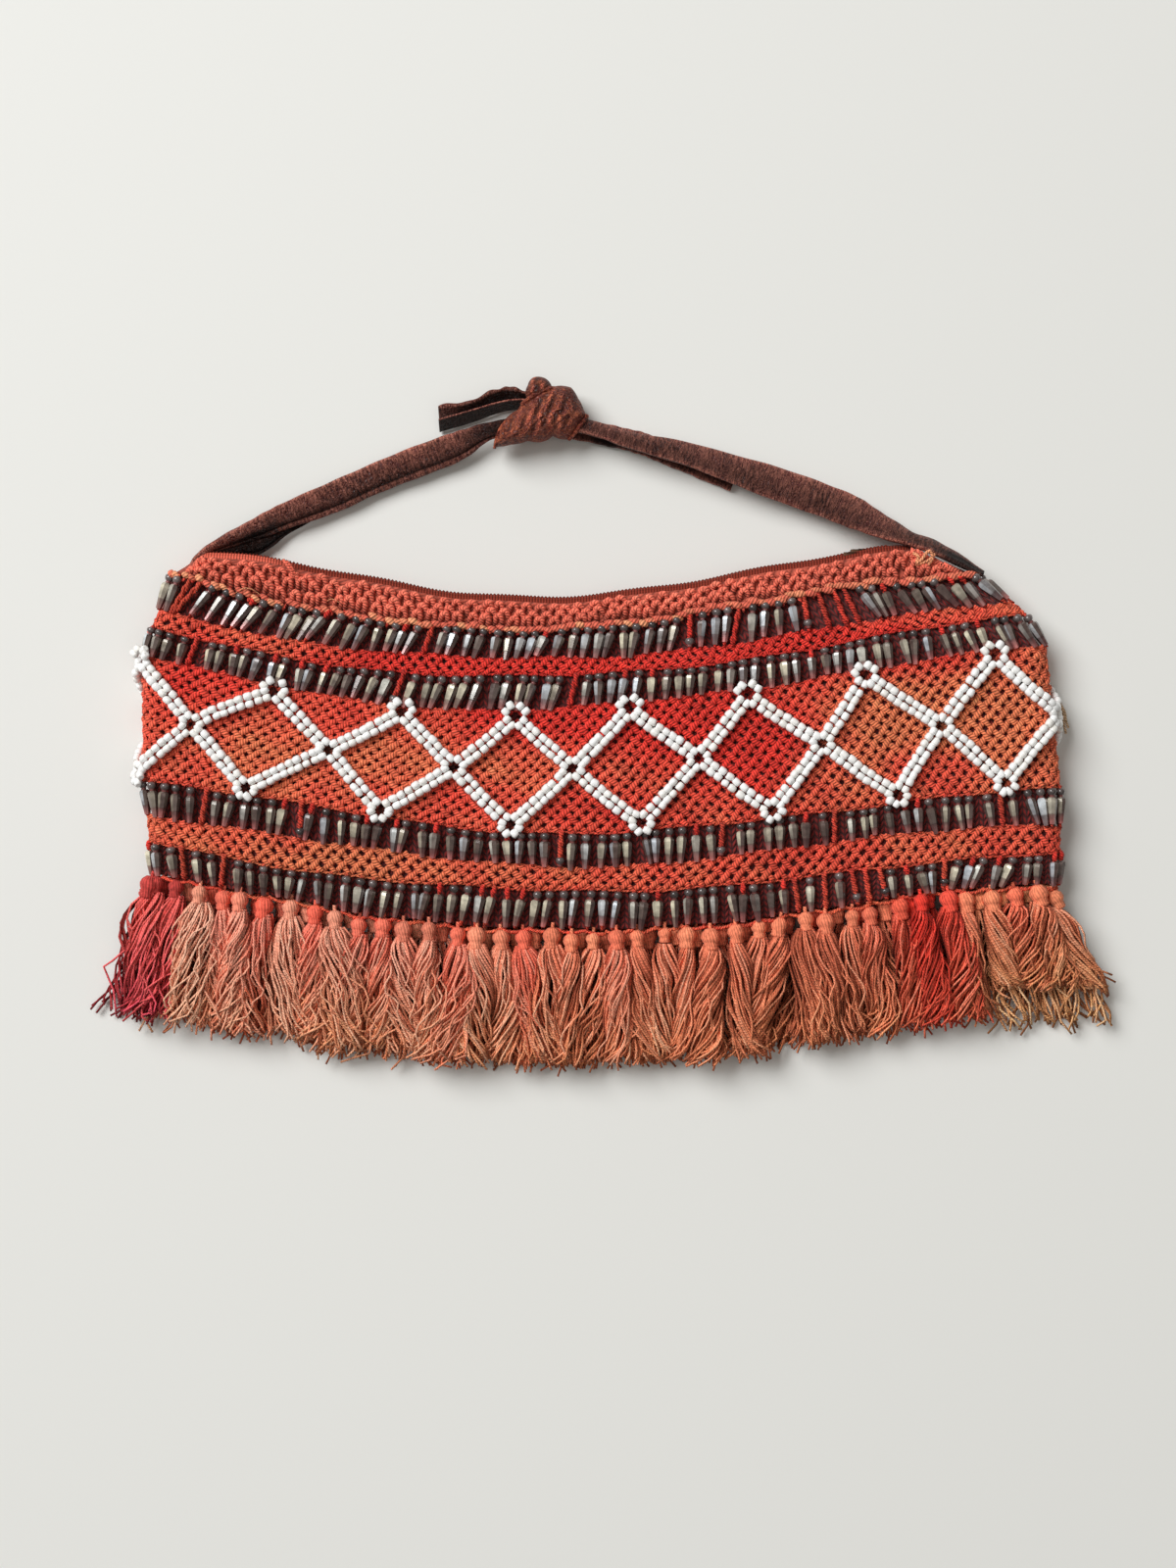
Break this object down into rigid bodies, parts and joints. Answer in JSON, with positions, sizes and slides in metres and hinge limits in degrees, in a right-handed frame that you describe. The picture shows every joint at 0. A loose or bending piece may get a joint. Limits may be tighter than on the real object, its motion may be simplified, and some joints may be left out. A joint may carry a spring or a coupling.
{
  "type": "beaded fringe bag",
  "caption": "Crocheted red-orange shoulder bag with a white bead lattice, rows of glass drops, a tasselled hem, a zipped mouth and a knotted leather strap.",
  "frame": {"origin": "middle of the outline, on the surface the bag lies on", "axes": "+X to the bag's right as seen from the front, +Y from the fringe to the strap's knot, +Z out of the front"},
  "size_m": [0.3718, 0.2562, 0.0236],
  "materials": {
    "net_yarn": "twisted cotton yarn",
    "lining_knit": "fine knit",
    "band_crochet": "chunky crochet",
    "zip_tape": "ribbed tape",
    "zip_metal": "dull",
    "glass_drops": "faceted, smoky",
    "white_beads": "opaque, glossy",
    "tassel_yarn": "plied cotton yarn",
    "strap_leather": "worn, grained"
  },
  "bodies": {
    "root": {"lining_front": "lining_knit", "lining_back": "lining_knit", "net_upper": "net_yarn", "net_main": "net_yarn", "net_lower": "net_yarn", "hem_cord": "net_yarn", "top_band": "band_crochet", "zip_tape": "zip_tape", "zip_slider": "zip_metal", "drop_row_1": "glass_drops", "drop_row_2": "glass_drops", "drop_row_3": "glass_drops", "drop_row_4": "glass_drops", "bead_lattice": "white_beads", "fringe_back": "tassel_yarn", "tassel_01": "tassel_yarn", "tassel_02": "tassel_yarn", "tassel_03": "tassel_yarn", "tassel_04": "tassel_yarn", "tassel_05": "tassel_yarn", "tassel_06": "tassel_yarn", "tassel_07": "tassel_yarn", "tassel_08": "tassel_yarn", "tassel_09": "tassel_yarn", "tassel_10": "tassel_yarn", "tassel_11": "tassel_yarn", "tassel_12": "tassel_yarn", "tassel_13": "tassel_yarn", "tassel_14": "tassel_yarn", "tassel_15": "tassel_yarn", "tassel_16": "tassel_yarn", "tassel_17": "tassel_yarn", "tassel_18": "tassel_yarn", "tassel_19": "tassel_yarn", "tassel_20": "tassel_yarn", "tassel_21": "tassel_yarn", "tassel_22": "tassel_yarn", "tassel_23": "tassel_yarn", "tassel_24": "tassel_yarn", "tassel_25": "tassel_yarn", "tassel_26": "tassel_yarn", "tassel_27": "tassel_yarn", "tassel_28": "tassel_yarn", "tassel_29": "tassel_yarn", "tassel_30": "tassel_yarn", "tassel_31": "tassel_yarn", "tassel_32": "tassel_yarn", "tassel_33": "tassel_yarn", "tassel_34": "tassel_yarn", "tassel_35": "tassel_yarn", "tassel_36": "tassel_yarn", "tassel_37": "tassel_yarn", "tassel_38": "tassel_yarn", "tassel_39": "tassel_yarn", "tassel_40": "tassel_yarn", "strap_knot": "strap_leather", "strap_left": "strap_leather", "strap_right": "strap_leather", "strap_tail_left": "strap_leather", "strap_tail_right": "strap_leather"}
  },
  "joints": []
}
